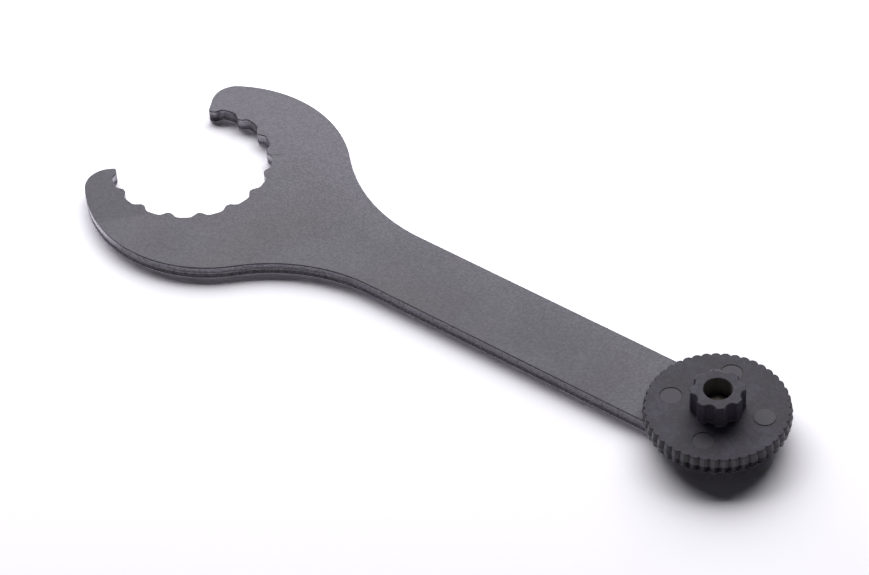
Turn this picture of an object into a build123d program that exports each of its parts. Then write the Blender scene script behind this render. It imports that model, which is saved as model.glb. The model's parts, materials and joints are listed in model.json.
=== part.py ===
from build123d import *
import os
from math import cos, hypot, radians, sin, sqrt, tan

# A flat bottom bracket spanner that carries a crank cap wheel on the end of its handle.
# Millimetres. The origin is the centre of the jaw on the underside of the plate, X runs
# along the handle to the wheel, Z is up, and the tool lies flat on its plate.

# The jaw grips a bearing cup that has notches all round its rim. One tooth lies on the X
# axis, and the jaws reach a different number of notches above and below it.
cup_notches = 16
teeth_below = 6
teeth_above = 5
jaw_root_radius = 22.4
tooth_height = 1.5
tooth_tip_width = 1.15
tooth_base_width = 4.9
tooth_tip_round = 1.3
tooth_root_round = 2.0
jaw_end_margin = 3.75
jaw_corner_round = 0.8

# The head is one round disc, a cheek wider than the jaw's root circle and set off its
# centre towards the handle, so the jaws grow slimmer towards their noses.
cheek_width = 14.35
head_offset = 9.4
nose_round = 6.7
nose_round_limit = 0.85
neck_round = 48.5

# The handle is a plain parallel strip with a round end about the wheel's pivot.
handle_width = 22.2
pivot_distance = 173.2
plate_thickness = 4.0
top_edge_bevel = 0.35
bottom_edge_bevel = 0.25

# The wheel is a thick moulded disc with a ring of rounded lobes for the fingers. Its
# radius is over the lobes at the parting line, half way up, and the lobes taper from
# there to both faces.
wheel_radius = 19.2
wheel_thickness = 4.6
wheel_turn = 16.4
rim_lobes = 45
rim_lobe_radius = 1.9
rim_draft = 9.0
wheel_clearance = 0.1

# The boss on the wheel is the key that enters the crank cap.
boss_radius = 7.15
boss_height = 6.4
boss_flutes = 8
flute_radius = 1.8
flute_depth = 1.15
key_edge_round = 0.5
boss_bevel = 0.3
bore_radius = 3.75

# Round ejector pin marks stand about the boss. The first is proud, the others are sunk.
marks = 4
mark_radius = 2.85
mark_circle_radius = 12.4
mark_height = 0.12

# A steel rivet holds the wheel and lets it turn.
shank_radius = 2.4
shank_clearance = 0.06
head_clearance = 0.1
head_side_clearance = 0.45
rivet_head_edge = 0.7
rivet_dome_height = 1.8
tail_flare = 1.8
countersink_angle = 90

corner_tolerance = 0.001


def spoke(angle, length):
    """The point at this length and angle from the jaw's centre."""
    return Vector(length * cos(radians(angle)), length * sin(radians(angle)))


def is_on_circle(vertex, radius, x=0.0):
    """Whether a sketch's corner lies on a circle about a point of the X axis."""
    return abs(hypot(vertex.X - x, vertex.Y) - radius) < corner_tolerance


tooth_pitch = 360 / cup_notches
first_tooth = -teeth_below * tooth_pitch
last_tooth = teeth_above * tooth_pitch
tooth_count = teeth_below + 1 + teeth_above
lower_end = first_tooth - jaw_end_margin
upper_end = last_tooth + jaw_end_margin
jaw_tip_radius = jaw_root_radius - tooth_height
head_radius = jaw_root_radius + cheek_width
sketch_reach = 4 * head_radius


def nose_width(angle):
    """How wide a jaw is along its end, from the tip circle to the edge of the head."""
    across = sqrt(head_radius**2 - (head_offset * sin(radians(angle))) ** 2)
    return head_offset * cos(radians(angle)) + across - jaw_tip_radius


# A nose is as round as its width allows.
narrow_nose = min(nose_width(lower_end), nose_width(upper_end))
nose_radius = min(nose_round, nose_round_limit * narrow_nose)

# A tooth is a wedge that points at the jaw's centre. It is drawn as a whole triangle, from
# the point where its flanks would meet to well behind the root circle.
flank_slope = (tooth_base_width - tooth_tip_width) / 2 / tooth_height
wedge_point = jaw_tip_radius - tooth_tip_width / 2 / flank_slope
wedge_back = jaw_root_radius + tooth_height
wedge_half_width = (wedge_back - wedge_point) * flank_slope

# The space that the cup takes is pockets between the teeth, and the tip circle inside
# them. Past the last tooth of each jaw there is no pocket, only the tip circle.
with BuildSketch() as jaw_opening:
    Circle(jaw_root_radius)
    with PolarLocations(0, tooth_count, first_tooth, last_tooth - first_tooth, endpoint=True):
        Polygon(
            (wedge_point, 0),
            (wedge_back, -wedge_half_width),
            (wedge_back, wedge_half_width),
            align=None,
            mode=Mode.SUBTRACT,
        )
    Polygon(
        (0, 0),
        spoke(last_tooth, sketch_reach),
        spoke(first_tooth, sketch_reach),
        align=None,
        mode=Mode.SUBTRACT,
    )
    Circle(jaw_tip_radius)
    root_corners = jaw_opening.vertices().filter_by(lambda v: is_on_circle(v, jaw_root_radius))
    fillet(root_corners, tooth_root_round)
    tip_corners = jaw_opening.vertices().filter_by(lambda v: is_on_circle(v, jaw_tip_radius))
    fillet(tip_corners, tooth_tip_round)

# The spanner is one blank of steel plate. Its top edge is broken where the punch drew the
# sheet down, and the underside has a small bevel where the burr was taken off.
with BuildPart() as spanner_plate:
    with BuildSketch() as outline:
        with Locations((head_offset, 0)):
            Circle(head_radius)
            Rectangle(pivot_distance - head_offset, handle_width, align=(Align.MIN, Align.CENTER))
        with Locations((pivot_distance, 0)):
            Circle(handle_width / 2)
        neck_corners = outline.vertices().filter_by(lambda v: is_on_circle(v, head_radius, head_offset))
        fillet(neck_corners, neck_round)
        add(jaw_opening.sketch, mode=Mode.SUBTRACT)
        Polygon(
            (0, 0),
            spoke(upper_end, sketch_reach),
            spoke(lower_end, sketch_reach),
            align=None,
            mode=Mode.SUBTRACT,
        )
        nose_corners = outline.vertices().filter_by(
            lambda v: v.X < 0 and is_on_circle(v, head_radius, head_offset)
        )
        fillet(nose_corners, nose_radius)
        for jaw_end in (upper_end, lower_end):
            mouth_corner = outline.vertices().sort_by_distance(spoke(jaw_end, jaw_tip_radius))[0]
            fillet(mouth_corner, jaw_corner_round)
    extrude(amount=plate_thickness)
    chamfer(spanner_plate.edges().group_by(Axis.Z)[-1], top_edge_bevel)
    chamfer(spanner_plate.edges().group_by(Axis.Z)[0], bottom_edge_bevel)
    with Locations(Plane(origin=(pivot_distance, 0, 0), z_dir=(0, 0, -1))):
        CounterSinkHole(shank_radius, shank_radius + tail_flare, plate_thickness, countersink_angle)

# The wheel is one moulding. It sits on the plate, turned to any angle about its rivet.
wheel_underside = plate_thickness + wheel_clearance
pivot_plane = Plane(origin=(pivot_distance, 0, wheel_underside), z_dir=(0, 0, 1))
wheel_plane = pivot_plane.rotated((0, 0, wheel_turn))
face_plane = wheel_plane.offset(wheel_thickness)
parting_plane = wheel_plane.offset(wheel_thickness / 2)
lobe_circle_radius = wheel_radius - rim_lobe_radius
lobe_face_radius = rim_lobe_radius - wheel_thickness / 2 * tan(radians(rim_draft))
half_lobe_pitch = 360 / rim_lobes / 2
mark_pitch = 360 / marks

with BuildPart() as cap_wheel:
    # The mould parts at the middle of the rim, and each half has its own draft.
    for rim_plane, lobe_radius in ((parting_plane, rim_lobe_radius), (face_plane, lobe_face_radius)):
        with BuildSketch(rim_plane):
            Circle(lobe_circle_radius)
            with PolarLocations(lobe_circle_radius, rim_lobes, half_lobe_pitch):
                Circle(lobe_radius)
    loft(ruled=True)
    mirror(about=parting_plane)
    # The key has a round flute between each pair of its teeth.
    with BuildSketch(face_plane) as key:
        Circle(boss_radius)
        with PolarLocations(boss_radius - flute_depth + flute_radius, boss_flutes):
            Circle(flute_radius, mode=Mode.SUBTRACT)
        fillet(key.vertices(), key_edge_round)
    extrude(amount=boss_height)
    chamfer(cap_wheel.edges().group_by(Axis.Z)[-1], boss_bevel)
    with Locations(face_plane.offset(boss_height)):
        Hole(bore_radius, boss_height)
    with Locations(face_plane):
        Hole(shank_radius + shank_clearance)
    with BuildSketch(face_plane):
        with PolarLocations(mark_circle_radius, marks - 1, mark_pitch, 360 - mark_pitch):
            Circle(mark_radius)
    extrude(amount=-mark_height, mode=Mode.SUBTRACT)
    with BuildSketch(face_plane):
        with PolarLocations(mark_circle_radius, 1):
            Circle(mark_radius)
    extrude(amount=mark_height)

# The rivet's round head sits down in the key's bore, and its tail fills the countersink
# flush with the underside of the plate.
head_underside = wheel_underside + wheel_thickness + head_clearance
head_shoulder = head_underside + rivet_head_edge
head_radius_in_bore = bore_radius - head_side_clearance
dome_radius = (head_radius_in_bore**2 + rivet_dome_height**2) / (2 * rivet_dome_height)
tail_depth = tail_flare / tan(radians(countersink_angle / 2))

with BuildPart() as rivet:
    with BuildSketch(Plane(origin=(pivot_distance, 0, 0), x_dir=(1, 0, 0), z_dir=(0, -1, 0))):
        with BuildLine():
            Polyline(
                (0, head_shoulder + rivet_dome_height),
                (0, 0),
                (shank_radius + tail_flare, 0),
                (shank_radius, tail_depth),
                (shank_radius, head_underside),
                (head_radius_in_bore, head_underside),
                (head_radius_in_bore, head_shoulder),
            )
            RadiusArc(
                (0, head_shoulder + rivet_dome_height),
                (head_radius_in_bore, head_shoulder),
                dome_radius,
            )
        make_face()
    revolve(axis=Axis((pivot_distance, 0, 0), (0, 0, 1)))

spanner_plate.part.label = "spanner_plate"
cap_wheel.part.label = "cap_wheel"
rivet.part.label = "rivet"

os.makedirs("parts", exist_ok=True)
export_step(spanner_plate.part, "parts/spanner_plate.step")
export_step(cap_wheel.part, "parts/cap_wheel.step")
export_step(rivet.part, "parts/rivet.step")
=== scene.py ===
import json
from math import acos, atan2, ceil, cos, pi, radians, sin, sqrt, tan

import bmesh
import bpy
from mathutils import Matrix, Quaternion, Vector


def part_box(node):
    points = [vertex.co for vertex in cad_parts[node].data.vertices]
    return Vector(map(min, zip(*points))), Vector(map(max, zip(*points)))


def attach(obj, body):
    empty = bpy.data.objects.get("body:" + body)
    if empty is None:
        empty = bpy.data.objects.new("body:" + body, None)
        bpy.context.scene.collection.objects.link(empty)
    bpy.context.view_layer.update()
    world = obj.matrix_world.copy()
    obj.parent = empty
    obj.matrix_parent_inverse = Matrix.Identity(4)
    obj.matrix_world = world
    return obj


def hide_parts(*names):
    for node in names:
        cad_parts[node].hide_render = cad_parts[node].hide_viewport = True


# A flat bottom bracket spanner with a toothed jaw, and a moulded wheel that carries a crank
# cap key, riveted to the end of its handle. Metres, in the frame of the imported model.
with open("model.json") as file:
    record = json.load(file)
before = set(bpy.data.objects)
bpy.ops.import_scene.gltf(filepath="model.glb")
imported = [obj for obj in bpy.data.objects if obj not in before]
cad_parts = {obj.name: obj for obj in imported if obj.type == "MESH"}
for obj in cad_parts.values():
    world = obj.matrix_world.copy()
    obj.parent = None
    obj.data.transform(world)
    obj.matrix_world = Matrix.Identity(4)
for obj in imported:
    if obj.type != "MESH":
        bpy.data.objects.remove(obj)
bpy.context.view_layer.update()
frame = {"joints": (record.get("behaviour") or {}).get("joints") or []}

# Spanner plate
# One blank punched out of 4 mm steel sheet, blackened to a satin grey. The punch drew its
# top edge down, and left a smooth band and a torn band, with a line between, on its wall.
plate_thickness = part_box("spanner_plate")[1].z
pivot = Vector(frame["joints"][0]["pos_m"][:2])

tooth_pitch = radians(22.5)
teeth_below = 6
teeth_above = 5
root_radius = 0.0224
tip_radius = 0.0209
tip_width = 0.00115
base_width = 0.0049
tip_round = 0.0013
root_round = 0.002
mouth_margin = radians(3.75)
mouth_round = 0.0008
head_radius = 0.03675
head_centre = Vector((0.0094, 0))
nose_round = 0.0067
neck_round = 0.0485
handle_half_width = 0.0111

jaw_centre = Vector((0, 0))
chord_gap = 0.000003


def turned(angle, length=1.0):
    """The point at this angle and distance from the jaw's centre."""
    return Vector((cos(angle), sin(angle))) * length


def tangent_centre(start, heading, left, hub, reach):
    """The centre of a round that lies this far left of a line and this far from a hub."""
    foot = start + turned(heading + pi / 2, left) - hub
    half = foot.dot(turned(heading))
    travel = sqrt(half**2 - foot.length_squared + reach**2) - half
    return hub + foot + turned(heading, travel)


def heading_of(vector):
    return atan2(vector.y, vector.x)


def arc(centre, radius, first, last, convex=True):
    """An arc of an outline that is walked with its material on the left. A convex arc turns
    left, from its first angle up to its last, and a hollow one turns right."""
    span = (last - first) % (2 * pi)
    if not convex:
        span -= 2 * pi
    return centre, radius, first, span


def walk(arcs):
    """The points of a closed chain of arcs and the way out of the material at each point.
    The straight edges between two arcs need no points of their own."""
    outline = []
    for centre, radius, first, span in arcs:
        steps = ceil(abs(span) / (2 * acos(1 - chord_gap / radius)))
        for step in range(steps + 1):
            spoke = turned(first + span * step / steps)
            point = centre + spoke * radius
            if not outline or (point - outline[-1][0]).length > chord_gap:
                outline.append((point, spoke if span > 0 else -spoke))
    if (outline[0][0] - outline[-1][0]).length < chord_gap:
        outline.pop()
    return outline


def round_hole(centre, radius):
    """The outline of a round hole, walked with the material on the left."""
    return walk([(centre, radius, 0, -2 * pi)])


def ring(mesh, outline, inset, height):
    """The outline's points, moved into the material and set at a height."""
    moved = (point - outward * inset for point, outward in outline)
    return [mesh.verts.new((point.x, point.y, height)) for point in moved]


def sides(mesh, line):
    """The edges between the neighbours in a closed ring."""
    return [mesh.edges.get((line[here - 1], line[here])) for here in range(len(line))]


def crisp(mesh, line):
    """Makes a ring a crisp line, which smooth shading stops at."""
    for side in sides(mesh, line):
        side.smooth = False


def skin(mesh, lower, upper):
    """The wall between two rings of an outline."""
    for here in range(len(lower)):
        before = here - 1
        mesh.faces.new((lower[before], lower[here], upper[here], upper[before]))


def wall(mesh, outline, profile):
    """A wall that follows an outline. Each step of its profile, from the bottom up, says how
    far in it lies, how high, and whether it is a crisp line. Gives its first and last rings."""
    rings = [ring(mesh, outline, inset, height) for inset, height, is_crisp in profile]
    for lower, upper in zip(rings, rings[1:]):
        skin(mesh, lower, upper)
    for line, (inset, height, is_crisp) in zip(rings, profile):
        if is_crisp:
            crisp(mesh, line)
    return rings[0], rings[-1]


def flat(mesh, *rings):
    """A flat face inside the first ring and outside the others."""
    edges = [side for line in rings for side in sides(mesh, line)]
    bmesh.ops.triangle_fill(mesh, use_beauty=True, edges=edges)


def piece(name, mesh, node, body, material):
    """Turns a finished mesh into the piece that stands for a node of the frame."""
    bmesh.ops.recalc_face_normals(mesh, faces=mesh.faces)
    for face in mesh.faces:
        face.smooth = True
    data = bpy.data.meshes.new(name)
    mesh.to_mesh(data)
    mesh.free()
    data.materials.append(material)
    made = bpy.data.objects.new(name, data)
    bpy.context.scene.collection.objects.link(made)
    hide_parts(node)
    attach(made, body)
    return made


flank_angle = atan2((base_width - tip_width) / 2, root_radius - tip_radius)
wedge_point = tip_radius - tip_width / 2 / tan(flank_angle)
wedge_corner = Vector((wedge_point, 0))
tip_centre = tangent_centre(wedge_corner, flank_angle, -tip_round, jaw_centre, tip_radius + tip_round)
root_centre = tangent_centre(wedge_corner, flank_angle, root_round, jaw_centre, root_radius - root_round)
tip_turn = heading_of(tip_centre)
root_turn = heading_of(root_centre)
lower_end = -teeth_below * tooth_pitch - mouth_margin
upper_end = teeth_above * tooth_pitch + mouth_margin
mouth_turn = atan2(mouth_round, sqrt((tip_radius + mouth_round) ** 2 - mouth_round**2))

upper_nose = tangent_centre(jaw_centre, upper_end, -nose_round, head_centre, head_radius - nose_round)
lower_nose = tangent_centre(jaw_centre, lower_end, nose_round, head_centre, head_radius - nose_round)
neck_reach = head_radius + neck_round
upper_neck = tangent_centre(pivot, 0, handle_half_width + neck_round, head_centre, neck_reach)
lower_neck = Vector((upper_neck.x, -upper_neck.y))


def tooth_side(tooth, side):
    """The hollow round at the foot of a tooth's flank and the round at its tip, as one side
    (1 is the side towards the upper jaw) of the tooth at an angle."""
    flank_out = tooth + side * (flank_angle + pi / 2)
    foot = tooth + side * root_turn
    tip = tooth + side * tip_turn
    if side > 0:
        yield arc(turned(foot, root_centre.length), root_round, foot, flank_out + pi, convex=False)
        yield arc(turned(tip, tip_centre.length), tip_round, flank_out, tip + pi)
    else:
        yield arc(turned(tip, tip_centre.length), tip_round, tip + pi, flank_out)
        yield arc(turned(foot, root_centre.length), root_round, flank_out + pi, foot, convex=False)


def jaw():
    """The jaw's edge, from the upper nose round to the lower one."""
    teeth = [tooth * tooth_pitch for tooth in range(teeth_above, -teeth_below - 1, -1)]
    mouth_reach = tip_radius + mouth_round
    corner = upper_end - mouth_turn
    yield arc(turned(corner, mouth_reach), mouth_round, upper_end + pi / 2, corner + pi)
    last = corner
    for tooth in teeth:
        if tooth != teeth[0]:
            yield arc(jaw_centre, root_radius, last, tooth + root_turn, convex=False)
            yield from tooth_side(tooth, 1)
            last = tooth + tip_turn
        if tooth != teeth[-1]:
            yield arc(jaw_centre, tip_radius, last, tooth - tip_turn, convex=False)
            yield from tooth_side(tooth, -1)
            last = tooth - root_turn
    corner = lower_end + mouth_turn
    yield arc(jaw_centre, tip_radius, last, corner, convex=False)
    yield arc(turned(corner, mouth_reach), mouth_round, corner + pi, lower_end - pi / 2)


def plate_arcs():
    """The plate's whole edge, from the round end of the handle and back to it."""
    upper_lean = heading_of(upper_nose - head_centre)
    lower_lean = heading_of(lower_nose - head_centre)
    yield arc(pivot, handle_half_width, -pi / 2, pi / 2)
    yield arc(upper_neck, neck_round, -pi / 2, heading_of(head_centre - upper_neck), convex=False)
    yield arc(head_centre, head_radius, heading_of(upper_neck - head_centre), upper_lean)
    yield arc(upper_nose, nose_round, upper_lean, upper_end + pi / 2)
    yield from jaw()
    yield arc(lower_nose, nose_round, lower_end - pi / 2, lower_lean)
    yield arc(head_centre, head_radius, lower_lean, heading_of(lower_neck - head_centre))
    yield arc(lower_neck, neck_round, heading_of(head_centre - lower_neck), pi / 2, convex=False)


burr_bevel = 0.00025
torn_band_top = 0.00185
line_width = 0.00012
line_depth = 0.00004
draw_down = 0.00028
draw_in = 0.00012
draw_steps = 6

plate_profile = [(burr_bevel, 0, True), (0, burr_bevel, True), (0, torn_band_top, True)]
plate_profile.append((line_depth, torn_band_top + line_width / 2, True))
plate_profile.append((0, torn_band_top + line_width, True))
for step in range(draw_steps + 1):
    rise = pi / 2 * step / draw_steps
    inset = draw_in * (1 - cos(rise))
    height = plate_thickness - draw_down * (1 - sin(rise))
    plate_profile.append((inset, height, step == draw_steps))

rivet_shank = 0.0024
tail_flare = 0.0018

plate_mesh = bmesh.new()
underside, top = wall(plate_mesh, walk(plate_arcs()), plate_profile)
hole_profile = [(-tail_flare, 0, True), (0, tail_flare, True), (0, plate_thickness, True)]
countersink, hole = wall(plate_mesh, round_hole(pivot, rivet_shank), hole_profile)
flat(plate_mesh, underside, countersink)
flat(plate_mesh, top, hole)


class Signal:
    """What comes out of a shader node. Arithmetic on it adds the nodes that do it."""

    def __init__(self, finish, socket):
        self.finish = finish
        self.socket = socket

    def math(self, operation, *others):
        sockets = {place: value for place, value in enumerate((self, *others))}
        return self.finish.node("Math", {"operation": operation}, sockets)

    def __add__(self, other):
        return self.math("ADD", other)

    def __sub__(self, other):
        return self.math("SUBTRACT", other)

    def __rsub__(self, other):
        return (self * -1) + other

    def __mul__(self, other):
        return self.math("MULTIPLY", other)

    def __pow__(self, other):
        return self.math("POWER", other)

    __radd__ = __add__
    __rmul__ = __mul__


class Finish:
    """A material or a world in the making, from its first node to its last."""

    def __init__(self, wearer):
        self.wearer = wearer
        wearer.use_nodes = True
        self.tree = wearer.node_tree
        self.tree.nodes.clear()

    def node(self, kind, settings, sockets, output=0):
        """Adds a node, sets it, then gives its sockets their values or links."""
        made = self.tree.nodes.new("ShaderNode" + kind)
        for name, value in settings.items():
            setattr(made, name, value)
        for name, value in sockets.items():
            if isinstance(value, Signal):
                self.tree.links.new(value.socket, made.inputs[name])
            else:
                made.inputs[name].default_value = value
        return Signal(self, made.outputs[output]) if made.outputs else None

    def place(self):
        """Where a point lies on the piece at rest."""
        return self.node("TexCoord", {}, {}, "Object")

    def axes(self):
        """How far a point lies along X, Y and Z."""
        split = self.node("SeparateXYZ", {}, {"Vector": self.place()})
        outputs = split.socket.node.outputs
        return [Signal(self, outputs[axis]) for axis in "XYZ"]

    def noise(self, size, detail, roughness=0.5):
        """Cloudy noise from 0 to 1, with clouds of about this size."""
        sockets = {"Vector": self.place(), "Scale": 1 / size, "Detail": detail, "Roughness": roughness}
        return self.node("TexNoise", {}, sockets)

    def ramp(self, signal, low, high):
        """0 below low, 1 above high, and a smooth slope between."""
        sockets = {0: signal, 1: low, 2: high}
        return self.node("MapRange", {"interpolation_type": "SMOOTHSTEP"}, sockets)

    def band(self, signal, low, high, soft):
        """1 between low and high, and soft outside them."""
        return self.ramp(signal, low - soft, low) * (1 - self.ramp(signal, high, high + soft))

    def distance(self, point, other):
        """How far one point lies from another."""
        return self.node("VectorMath", {"operation": "DISTANCE"}, {0: point, 1: other}, "Value")

    def travel(self, start, heading):
        """The way from a point to each place on the piece, and its length along a heading."""
        way = self.node("VectorMath", {"operation": "SUBTRACT"}, {0: self.place(), 1: start})
        return way, self.node("VectorMath", {"operation": "DOT_PRODUCT"}, {0: way, 1: heading}, "Value")

    def spot(self, centre, inner, outer):
        """1 within a distance of a point, and 0 from another distance on."""
        return 1 - self.ramp(self.distance(self.place(), centre), inner, outer)

    def beyond(self, start, end, soft):
        """1 to the left of a line from start to end, seen from above, and 0 to its right."""
        ahead = end - start
        way, apart = self.travel(start, Vector((-ahead.y, ahead.x, 0)).normalized())
        return self.ramp(apart, -soft, soft)

    def scratch(self, start, end, half_width):
        """1 along a straight line between two points, and 0 beside it."""
        ahead = end - start
        heading = ahead.normalized()
        way, travelled = self.travel(start, heading)
        travelled = travelled.math("MAXIMUM", 0).math("MINIMUM", ahead.length)
        foot = self.node("VectorMath", {"operation": "SCALE"}, {0: heading, "Scale": travelled})
        return 1 - self.ramp(self.distance(way, foot), half_width / 2, half_width * 2)

    def blend(self, share, base, layer):
        """A colour with a share of another over it."""
        return self.node("Mix", {"data_type": "RGBA"}, {0: share, 6: base, 7: layer}, 2)

    def bump(self, height, distance):
        """The normal of a face whose relief is this deep."""
        return self.node("Bump", {}, {"Height": height, "Distance": distance})

    def done(self, **sockets):
        """The surface itself, from the values and links of its shader."""
        named = {name.replace("_", " "): value for name, value in sockets.items()}
        shader = self.node("BsdfPrincipled", {}, named)
        self.node("OutputMaterial", {}, {"Surface": shader})
        return self.wearer


# Some of these tones are painted light and shade: a sheen on the faces, two highlights and a dark reflection
# on the edge, and shade in the mouth's corners.
face_dark = (0.103, 0.098, 0.115, 1)
face_pale = (0.118, 0.113, 0.131, 1)
face_brown = (0.105, 0.097, 0.107, 1)
painted_sheen_tone = (0.133, 0.126, 0.148, 1)
face_shade = (0.083, 0.079, 0.093, 1)
rub_black = (0.05, 0.047, 0.055, 1)
nick_black = (0.04, 0.038, 0.045, 1)
edge_grey = (0.38, 0.365, 0.41, 1)
tear_grey = (0.15, 0.143, 0.164, 1)
torn_black = (0.05, 0.048, 0.055, 1)
mouth_shade_black = (0.03, 0.028, 0.034, 1)
bevel_highlight_tone = (0.6, 0.58, 0.62, 1)
nose_highlight_tone = (0.8, 0.78, 0.84, 1)
dark_reflection_black = (0.012, 0.011, 0.013, 1)

steel_cloud = 0.018
steel_cloud_levels = 0.35, 0.65
brown_cloud = 0.025
brown_levels = 0.45, 0.7
brown_share = 0.45
steel_grain = 0.0007
steel_grain_levels = 0.3, 0.7
fine_roughness = 0.7
grain_share = 0.16
grain_relief = 0.00002
painted_sheen_reach = -0.004, 0.028

nose_stain = Vector((-0.00538, -0.03279, plate_thickness)), Vector((0.00507, -0.02104, plate_thickness))
stain_soft = 0.001
stain_reach = -0.018, -0.012
stain_share = 0.5
rub_line = Vector((0.0169, 0.0145, plate_thickness)), Vector((0.0191, 0.0161, plate_thickness))
rub_half_width = 0.00025
rub_share = 0.35
edge_nick = Vector((0.0829, -0.0105, plate_thickness))
nick_reach = 0.0001, 0.0004
nick_share = 0.8

edge_soft = 0.00003
tear_levels = 0.42, 0.66
tear_share = 0.7
torn_band_low = 0.0006
torn_band_high = torn_band_top - 0.0003
torn_band_soft = 0.0002
torn_band_share = 0.15
mouth_corners = [turned(end, tip_radius).to_3d() for end in (lower_end, upper_end)]
mouth_shade_reach = 0.002, 0.0042
mouth_shade_share = 0.85
bevel_highlight_low = 0.00004
nose_highlight_centre = Vector((-0.0075, -0.0325, 0.0028))
nose_highlight_reach = 0.003, 0.014
dark_reflection_low = plate_thickness - 0.00034
dark_reflection_high = plate_thickness - 0.00007
dark_reflection_soft = 0.00004
dark_reflection_share = 0.9

steel_metallic = 0.7
steel_roughness = 0.58
grain_roughness = 0.08
band_smoothness = 0.3


def blackened_steel():
    """Blackened steel. Its two faces are satin and faintly clouded, with a stain on the lower
    nose, a rub and a nick, and a painted sheen that pales them towards the upper jaw. The
    punched edge is paler: smooth, with a painted highlight in one place, under a painted dark
    reflection along its rolled top, torn below, with painted shade in the mouth's corners and
    a painted highlight along the bevel at its foot."""
    finish = Finish(bpy.data.materials.new("blackened_steel"))
    across, up = finish.axes()[1:]
    clouds = finish.noise(steel_cloud, detail=3)
    warmth = finish.noise(brown_cloud, detail=2)
    grain = finish.ramp(finish.noise(steel_grain, detail=2, roughness=fine_roughness), *steel_grain_levels)
    tears = finish.noise(steel_grain, detail=3, roughness=fine_roughness)
    # A painted sheen pales the faces towards the upper jaw.
    painted_sheen = finish.ramp(across, *painted_sheen_reach)
    stain = finish.beyond(*nose_stain, stain_soft) * (1 - finish.ramp(across, *stain_reach))
    rub = finish.scratch(*rub_line, rub_half_width)
    nick = finish.spot(edge_nick, *nick_reach)
    tone = finish.blend(finish.ramp(clouds, *steel_cloud_levels), face_dark, face_pale)
    tone = finish.blend(finish.ramp(warmth, *brown_levels) * brown_share, tone, face_brown)
    tone = finish.blend(painted_sheen, tone, painted_sheen_tone)
    tone = finish.blend(grain * grain_share, tone, face_shade)
    tone = finish.blend(stain * stain_share, tone, face_shade)
    tone = finish.blend(rub * rub_share, tone, rub_black)
    tone = finish.blend(nick * nick_share, tone, nick_black)

    edge = finish.band(up, edge_soft, plate_thickness - 2 * edge_soft, edge_soft)
    smooth_band = edge * finish.ramp(up, torn_band_top, torn_band_top + line_width)
    torn_band = finish.band(up, torn_band_low, torn_band_high, torn_band_soft)
    # A painted highlight brightens the bevel at the foot of the edge.
    bevel_highlight = finish.band(up, bevel_highlight_low, burr_bevel, edge_soft)
    # A painted highlight brightens the smooth band at the outer edge of the lower nose.
    nose_highlight = finish.spot(nose_highlight_centre, *nose_highlight_reach) * smooth_band
    # A painted dark reflection runs along the rolled top of the edge.
    dark_reflection_line = finish.band(up, dark_reflection_low, dark_reflection_high, dark_reflection_soft)
    tone = finish.blend(edge, tone, edge_grey)
    tone = finish.blend(edge * finish.ramp(tears, *tear_levels) * tear_share, tone, tear_grey)
    tone = finish.blend(torn_band * (torn_band_share + tear_share * tears), tone, torn_black)
    # Painted shade darkens the edge in the corners of the mouth.
    for corner in mouth_corners:
        mouth_shade = edge * finish.spot(corner, *mouth_shade_reach)
        tone = finish.blend(mouth_shade * mouth_shade_share, tone, mouth_shade_black)
    tone = finish.blend(bevel_highlight, tone, bevel_highlight_tone)
    tone = finish.blend(nose_highlight, tone, nose_highlight_tone)
    tone = finish.blend(dark_reflection_line * dark_reflection_share, tone, dark_reflection_black)
    return finish.done(
        Base_Color=tone,
        Metallic=steel_metallic,
        Roughness=steel_roughness + grain_roughness * grain - band_smoothness * smooth_band,
        Normal=finish.bump(grain, grain_relief),
    )


piece("spanner_blank", plate_mesh, "spanner_plate", "spanner", blackened_steel())

# Cap wheel
# One black nylon moulding: a disc with a ring of finger lobes, which taper both ways from
# the mould's parting line, and the fluted key that enters a crank cap standing on its face.
wheel_low, wheel_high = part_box("cap_wheel")
wheel_thickness = 0.0046
wheel_radius = 0.0192
wheel_turn = radians(16.4)
rim_lobes = 45
lobe_radius = 0.0019
rim_draft = radians(9)
lobe_circle = wheel_radius - lobe_radius
half_lobe = pi / rim_lobes
lobe_steps = 6
flash_height = 0.00005
flash_width = 0.00012
rim_round = 0.00025
rim_round_steps = 3

face_height = wheel_low.z + wheel_thickness
parting_height = wheel_low.z + wheel_thickness / 2


def lobed(radius):
    """The rim's outline, with lobes of this radius."""
    outline = []
    for lobe in range(rim_lobes):
        for step in range(-lobe_steps, lobe_steps):
            beside = half_lobe * step / lobe_steps
            reach = lobe_circle * cos(beside) + sqrt(radius**2 - (lobe_circle * sin(beside)) ** 2)
            spoke = turned(wheel_turn + (2 * lobe + 1) * half_lobe + beside)
            outline.append((pivot + spoke * reach, spoke))
    return outline


def rim_steps():
    """The rim's profile above the parting line: how much smaller the lobes are, and how high."""
    taper = tan(rim_draft)
    round_start = wheel_thickness / 2 - rim_round
    yield 0, 0
    yield flash_height, flash_width / 2
    yield round_start * taper, round_start
    for step in range(1, rim_round_steps + 1):
        rise = pi / 2 * step / rim_round_steps
        yield round_start * taper + rim_round * (1 - cos(rise)), round_start + rim_round * sin(rise)


wheel_mesh = bmesh.new()
rim_profile = [(shrink, -height) for shrink, height in rim_steps()][:0:-1] + list(rim_steps())
rim_rings = []
for shrink, height in rim_profile:
    rim_rings.append(ring(wheel_mesh, lobed(lobe_radius - shrink), 0, parting_height + height))
for lower, upper in zip(rim_rings, rim_rings[1:]):
    skin(wheel_mesh, lower, upper)
    for valley in range(0, len(lower), 2 * lobe_steps):
        wheel_mesh.edges.get((lower[valley], upper[valley])).smooth = False
crisp(wheel_mesh, rim_rings[0])
crisp(wheel_mesh, rim_rings[-1])

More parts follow.
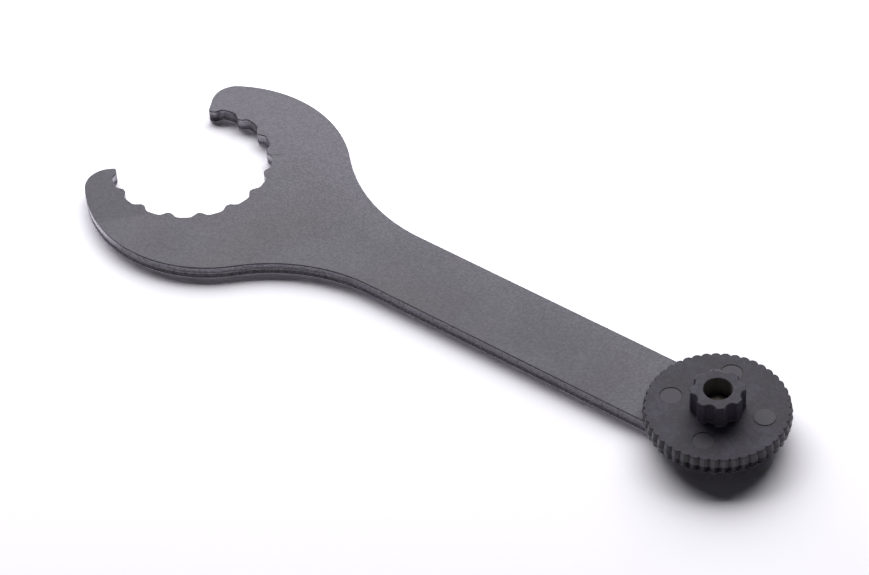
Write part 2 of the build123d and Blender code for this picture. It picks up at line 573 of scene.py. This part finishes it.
key_radius = 0.00715
key_flutes = 8
flute_radius = 0.0018
flute_depth = 0.00115
key_corner = 0.0005
key_foot = 0.0003
key_bevel = 0.0003
bore_radius = 0.00375
bore_bevel = 0.00015
key_steps = 4
shank_hole = 0.00246

flute_reach = key_radius - flute_depth + flute_radius
corner_reach = key_radius - key_corner
corner_gap = flute_radius + key_corner
corner_turn = acos((corner_reach**2 + flute_reach**2 - corner_gap**2) / (2 * corner_reach * flute_reach))


def key_arcs():
    """The key's outline: a round flute between each two of its teeth."""
    for flute in range(key_flutes):
        axis = wheel_turn + flute * 2 * pi / key_flutes
        hub = pivot + turned(axis, flute_reach)
        before = pivot + turned(axis - corner_turn, corner_reach)
        after = pivot + turned(axis + corner_turn, corner_reach)
        next_corner = axis + 2 * pi / key_flutes - corner_turn
        yield arc(before, key_corner, axis - corner_turn, heading_of(hub - before))
        yield arc(hub, flute_radius, heading_of(before - hub), heading_of(after - hub), convex=False)
        yield arc(after, key_corner, heading_of(hub - after), axis + corner_turn)
        yield arc(pivot, key_radius, axis + corner_turn, next_corner)


key_profile = []
for step in range(key_steps + 1):
    rise = pi / 2 * step / key_steps
    flare = key_foot * (1 - sin(rise))
    height = face_height + key_foot * (1 - cos(rise))
    key_profile.append((-flare, height, step == 0))
for step in range(key_steps + 1):
    rise = pi / 2 * step / key_steps
    inset = key_bevel * (1 - cos(rise))
    height = wheel_high.z - key_bevel * (1 - sin(rise))
    key_profile.append((inset, height, step == key_steps))
key_outline = walk(key_arcs())
key_foot_ring, key_top_ring = wall(wheel_mesh, key_outline, key_profile)

bore_profile = [(0, face_height, True), (0, wheel_high.z - bore_bevel, True)]
bore_profile.append((bore_bevel, wheel_high.z, True))
bore_floor, bore_mouth = wall(wheel_mesh, round_hole(pivot, bore_radius), bore_profile)
flat(wheel_mesh, key_top_ring, bore_mouth)
shank_profile = [(0, wheel_low.z, True), (0, face_height, True)]
shank_low, shank_high = wall(wheel_mesh, round_hole(pivot, shank_hole), shank_profile)
flat(wheel_mesh, bore_floor, shank_high)
flat(wheel_mesh, rim_rings[0], shank_low)

mark_radius = 0.00285
mark_circle = 0.0124
mark_height = 0.00012
marks = 4
mark_rings = []
mark_centres = []
for mark in range(marks):
    centre = pivot + turned(wheel_turn + mark * 2 * pi / marks, mark_circle)
    step_height = mark_height if mark == 0 else -mark_height
    mark_centres.append(centre)
    edge = round_hole(centre, mark_radius)
    edge_ring = ring(wheel_mesh, edge, 0, face_height)
    disc_ring = ring(wheel_mesh, edge, 0, face_height + step_height)
    skin(wheel_mesh, edge_ring, disc_ring)
    crisp(wheel_mesh, edge_ring)
    crisp(wheel_mesh, disc_ring)
    flat(wheel_mesh, disc_ring)
    mark_rings.append(edge_ring)
flat(wheel_mesh, rim_rings[-1], key_foot_ring, *mark_rings)


# Some of these tones are painted light and shade: highlights on the lobes' flanks and the key's top, shade
# in the valleys and round the marks, and light in the bore.
nylon_dark = (0.021, 0.0165, 0.033, 1)
nylon_pale = (0.062, 0.053, 0.087, 1)
nylon_grain = (0.085, 0.078, 0.104, 1)
nylon_fleck = (0.017, 0.014, 0.023, 1)
flank_highlight_grey = (0.165, 0.154, 0.185, 1)
valley_shade_black = (0.009, 0.008, 0.011, 1)
bore_light_grey = (0.22, 0.212, 0.2, 1)
key_highlight_grey = (0.3, 0.28, 0.32, 1)
disc_grey = (0.066, 0.06, 0.082, 1)
mark_shade_black = (0.004, 0.004, 0.005, 1)

flow_cloud = 0.0065
flow_levels = 0.36, 0.68
fleck_size = 0.0016
fleck_levels = 0.42, 0.66
fleck_share = 0.65
cloud_roughness = 0.6
nylon_grain_size = 0.0006
nylon_grain_levels = 0.42, 0.72
nylon_grain_share = 0.6

rim_top = face_height - 0.0001
rim_soft = 0.00003
rim_depth = 0.001
flank_highlight_phase = 0.8
flank_highlight_levels = 0.1, 0.8
valley_shade_levels = 0.3, 0.9
shaded_stretch_start = -0.72, -0.4
shaded_stretch_end = 0.5, 1

bore_soft = 0.0002
bore_wall_soft = 0.00005
bore_light_share = 0.5
bore_light_fleck_share = 0.7
key_edge_highlights = (
    (Vector((0.1662, 0.0011, wheel_high.z)), Vector((0.1684, 0.0047, wheel_high.z))),
    (Vector((0.1684, 0.0047, wheel_high.z)), Vector((0.1711, 0.0061, wheel_high.z))),
    (Vector((0.1748, 0.0069, wheel_high.z)), Vector((0.177, 0.006, wheel_high.z))),
)
key_highlight_half_width = 0.00012
key_highlight_levels = 0.35, 0.6
disc_reach = mark_radius - 0.0001, mark_radius
mark_shade_reach = mark_radius + 0.00008, mark_radius + 0.00025
disc_share = 0.7

nylon_roughness = 0.6
cloud_dullness = 0.08
disc_smoothness = 0.04
rim_smoothness = 0.3
nylon_specular = 0.42


def black_nylon():
    """Moulded black nylon: its flow left pale clouds and dark flecks, and the ejector pins
    left smoother discs, each ringed by a line of painted shade. A painted highlight pales one
    flank of each lobe, but for a stretch of the rim left in painted shade, and painted shade
    darkens the valleys. Painted light lightens the bore, and painted highlights run along the
    far edge of the key's top."""
    finish = Finish(bpy.data.materials.new("black_nylon"))
    along, across, up = finish.axes()
    reach = ((along - pivot.x) ** 2 + across**2) ** 0.5
    clouds = finish.noise(flow_cloud, detail=4, roughness=cloud_roughness)
    flecks = finish.noise(fleck_size, detail=3, roughness=cloud_roughness)
    grain = finish.noise(nylon_grain_size, detail=2, roughness=fine_roughness)
    tone = finish.blend(finish.ramp(clouds, *flow_levels), nylon_dark, nylon_pale)
    tone = finish.blend(finish.ramp(grain, *nylon_grain_levels) * nylon_grain_share, tone, nylon_grain)
    tone = finish.blend(finish.ramp(flecks, *fleck_levels) * fleck_share, tone, nylon_fleck)

    rim = finish.band(up, wheel_low.z, rim_top, rim_soft)
    rim = rim * finish.ramp(reach, lobe_circle - rim_depth, lobe_circle)
    turn = across.math("ARCTAN2", along - pivot.x)
    # A painted highlight pales one flank of each lobe.
    wave = (turn * rim_lobes + (flank_highlight_phase - rim_lobes * wheel_turn)).math("COSINE")
    # Along this stretch of the rim the flanks stay dark: painted shade.
    shaded_stretch = finish.ramp(turn, *shaded_stretch_start) * (1 - finish.ramp(turn, *shaded_stretch_end))
    flank_highlight = rim * finish.ramp(wave * -1, *flank_highlight_levels) * (1 - shaded_stretch)
    tone = finish.blend(flank_highlight, tone, flank_highlight_grey)
    # Painted shade darkens the valleys between the lobes.
    tone = finish.blend(rim * finish.ramp(wave, *valley_shade_levels), tone, valley_shade_black)

    # Painted light lightens the wall of the bore.
    bore = finish.ramp(up, face_height, face_height + bore_soft)
    bore = bore * (1 - finish.ramp(reach, bore_radius, bore_radius + bore_wall_soft))
    tone = finish.blend(bore * (bore_light_share + bore_light_fleck_share * flecks), tone, bore_light_grey)
    # Painted highlights run along the far edge of the key's top.
    for start, end in key_edge_highlights:
        key_highlight = finish.scratch(start, end, key_highlight_half_width) * finish.ramp(flecks, *key_highlight_levels)
        tone = finish.blend(key_highlight, tone, key_highlight_grey)
    discs = 0
    for centre in mark_centres:
        hub = (centre.x, centre.y, face_height)
        disc = finish.spot(hub, *disc_reach)
        # Painted shade runs in a line round each mark's edge.
        mark_shade = finish.spot(hub, *mark_shade_reach) * (1 - disc)
        tone = finish.blend(disc * disc_share, tone, disc_grey)
        tone = finish.blend(mark_shade, tone, mark_shade_black)
        discs = disc + discs
    return finish.done(
        Base_Color=tone,
        Roughness=nylon_roughness + cloud_dullness * clouds - disc_smoothness * discs - rim_smoothness * rim,
        Specular_IOR_Level=nylon_specular,
        Normal=finish.bump(grain + clouds, grain_relief),
    )


piece("key_wheel", wheel_mesh, "cap_wheel", "cap_wheel", black_nylon())

# Rivet
# A dark steel rivet. Its domed head sits down in the key's bore and lets the wheel turn, and
# its tail is pressed into the countersink, flush with the underside of the plate.
rivet_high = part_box("rivet")[1]
head_radius_in_bore = 0.0033
head_edge = 0.0007
dome_height = 0.0018
dome_steps = 10
head_low = rivet_high.z - dome_height - head_edge
dome_radius = (head_radius_in_bore**2 + dome_height**2) / (2 * dome_height)
dome_span = acos(1 - dome_height / dome_radius)

rivet_profile = [(-tail_flare, 0, True), (0, tail_flare, True), (0, head_low, True)]
rivet_profile.append((rivet_shank - head_radius_in_bore, head_low, True))
for step in range(dome_steps):
    tilt = dome_span * (1 - step / dome_steps)
    reach = dome_radius * sin(tilt)
    height = rivet_high.z - dome_radius * (1 - cos(tilt))
    rivet_profile.append((rivet_shank - reach, height, step == 0))

rivet_mesh = bmesh.new()
rivet_outline = walk([(pivot, rivet_shank, 0, 2 * pi)])
tail_ring, dome_ring = wall(rivet_mesh, rivet_outline, rivet_profile)
flat(rivet_mesh, tail_ring)
crown = rivet_mesh.verts.new((pivot.x, pivot.y, rivet_high.z))
for here in range(len(dome_ring)):
    rivet_mesh.faces.new((dome_ring[here - 1], dome_ring[here], crown))


rivet_dark = (0.16, 0.145, 0.12, 1)
rivet_pale = (0.26, 0.235, 0.2, 1)
rivet_grain = 0.0006
rivet_metallic = 0.6
rivet_roughness = 0.6
rivet_grain_dullness = 0.2


def dark_rivet_steel():
    """Blackened steel wire, brushed a little brighter by handling."""
    finish = Finish(bpy.data.materials.new("dark_rivet_steel"))
    grain = finish.noise(rivet_grain, detail=3, roughness=cloud_roughness)
    return finish.done(
        Base_Color=finish.blend(grain, rivet_dark, rivet_pale),
        Metallic=rivet_metallic,
        Roughness=rivet_roughness + rivet_grain_dullness * grain,
        Normal=finish.bump(grain, grain_relief),
    )


piece("wheel_rivet", rivet_mesh, "rivet", "spanner", dark_rivet_steel())

# Floor and light
# A white table, lit by one large soft lamp that stands low behind the tool. The room round
# it gives next to no light: it only looks white, and its walls are what gloss mirrors.
middle = Vector((0.085, 0, 0))
floor_half = 2.0
floor_white = (1.76, 1.73, 1.84, 1)
floor_bounce = (0.8, 0.79, 0.83, 1)
far_reach = 0.18, 0.36
paper_white = (1, 1, 1, 1)

floor_mesh = bmesh.new()
bmesh.ops.create_grid(floor_mesh, x_segments=1, y_segments=1, size=floor_half)
floor_data = bpy.data.meshes.new("table")
floor_mesh.to_mesh(floor_data)
floor_mesh.free()
table = bpy.data.objects.new("table", floor_data)
bpy.context.scene.collection.objects.link(table)


def looked_at(finish, mirrored=1):
    """1 for what the camera sees straight or through glass, a share for what gloss mirrors."""
    seen = finish.node("LightPath", {}, {}, "Is Camera Ray")
    glossy = finish.node("LightPath", {}, {}, "Is Glossy Ray")
    through = finish.node("LightPath", {}, {}, "Is Transmission Ray")
    return seen.math("MAXIMUM", glossy * mirrored).math("MAXIMUM", through)


white_table = Finish(bpy.data.materials.new("white_table"))
far = white_table.ramp(white_table.distance(white_table.place(), middle), *far_reach)
bounce = white_table.node("BsdfDiffuse", {}, {"Color": floor_bounce})
near_white = white_table.node("BsdfDiffuse", {}, {"Color": floor_white})
far_white = white_table.node("Emission", {}, {"Color": paper_white, "Strength": 1.0})
pictured = white_table.node("MixShader", {}, {0: far, 1: near_white, 2: far_white})
surface = white_table.node("MixShader", {}, {0: looked_at(white_table), 1: bounce, 2: pictured})
white_table.node("OutputMaterial", {}, {"Surface": surface})
floor_data.materials.append(white_table.wearer)

room_level = 0.01
wall_top = 0.4, 0.7
world = bpy.data.worlds.new("white_room")
bpy.context.scene.world = world
room = Finish(world)
height = room.node("SeparateXYZ", {}, {"Vector": room.node("TexCoord", {}, {}, "Generated")}, "Z")
walls = 1 - room.ramp(height, *wall_top)
strength = room_level + looked_at(room, walls) * (1 - room_level)
background = room.node("Background", {}, {"Color": paper_white, "Strength": strength})
room.node("OutputWorld", {}, {"Surface": background})


def stand(thing, target, azimuth, elevation, distance, roll=0.0):
    """Stands a lamp or a camera at a distance from its target and turns it to face it."""
    bpy.context.scene.collection.objects.link(thing)
    away = turned(azimuth, cos(elevation)).to_3d()
    away.z = sin(elevation)
    thing.location = target + away * distance
    thing.rotation_mode = "QUATERNION"
    thing.rotation_quaternion = (-away).to_track_quat("-Z", "Y") @ Quaternion((0, 0, 1), roll)


lamp_azimuth = radians(126)
lamp_elevation = radians(38)
lamp_distance = 1.0
lamp_data = bpy.data.lights.new("soft_lamp", "AREA")
lamp_data.shape = "RECTANGLE"
lamp_data.size = 1.6
lamp_data.size_y = 0.8
lamp_data.energy = 15.6
lamp = bpy.data.objects.new("soft_lamp", lamp_data)
stand(lamp, middle, lamp_azimuth, lamp_elevation, lamp_distance)

# Camera
# It looks down on the tool from beside the handle, a little off level.
camera_azimuth = radians(-51.077)
camera_elevation = radians(44.815)
camera_roll = radians(-3.506)
camera_distance = 0.91748
camera_target = Vector((0.08528, -0.00217, 0.004))

camera_data = bpy.data.cameras.new("camera")
camera_data.lens = 143.25
camera = bpy.data.objects.new("camera", camera_data)
stand(camera, camera_target, camera_azimuth, camera_elevation, camera_distance, camera_roll)
bpy.context.scene.camera = camera
bpy.context.scene.view_settings.view_transform = "Standard"
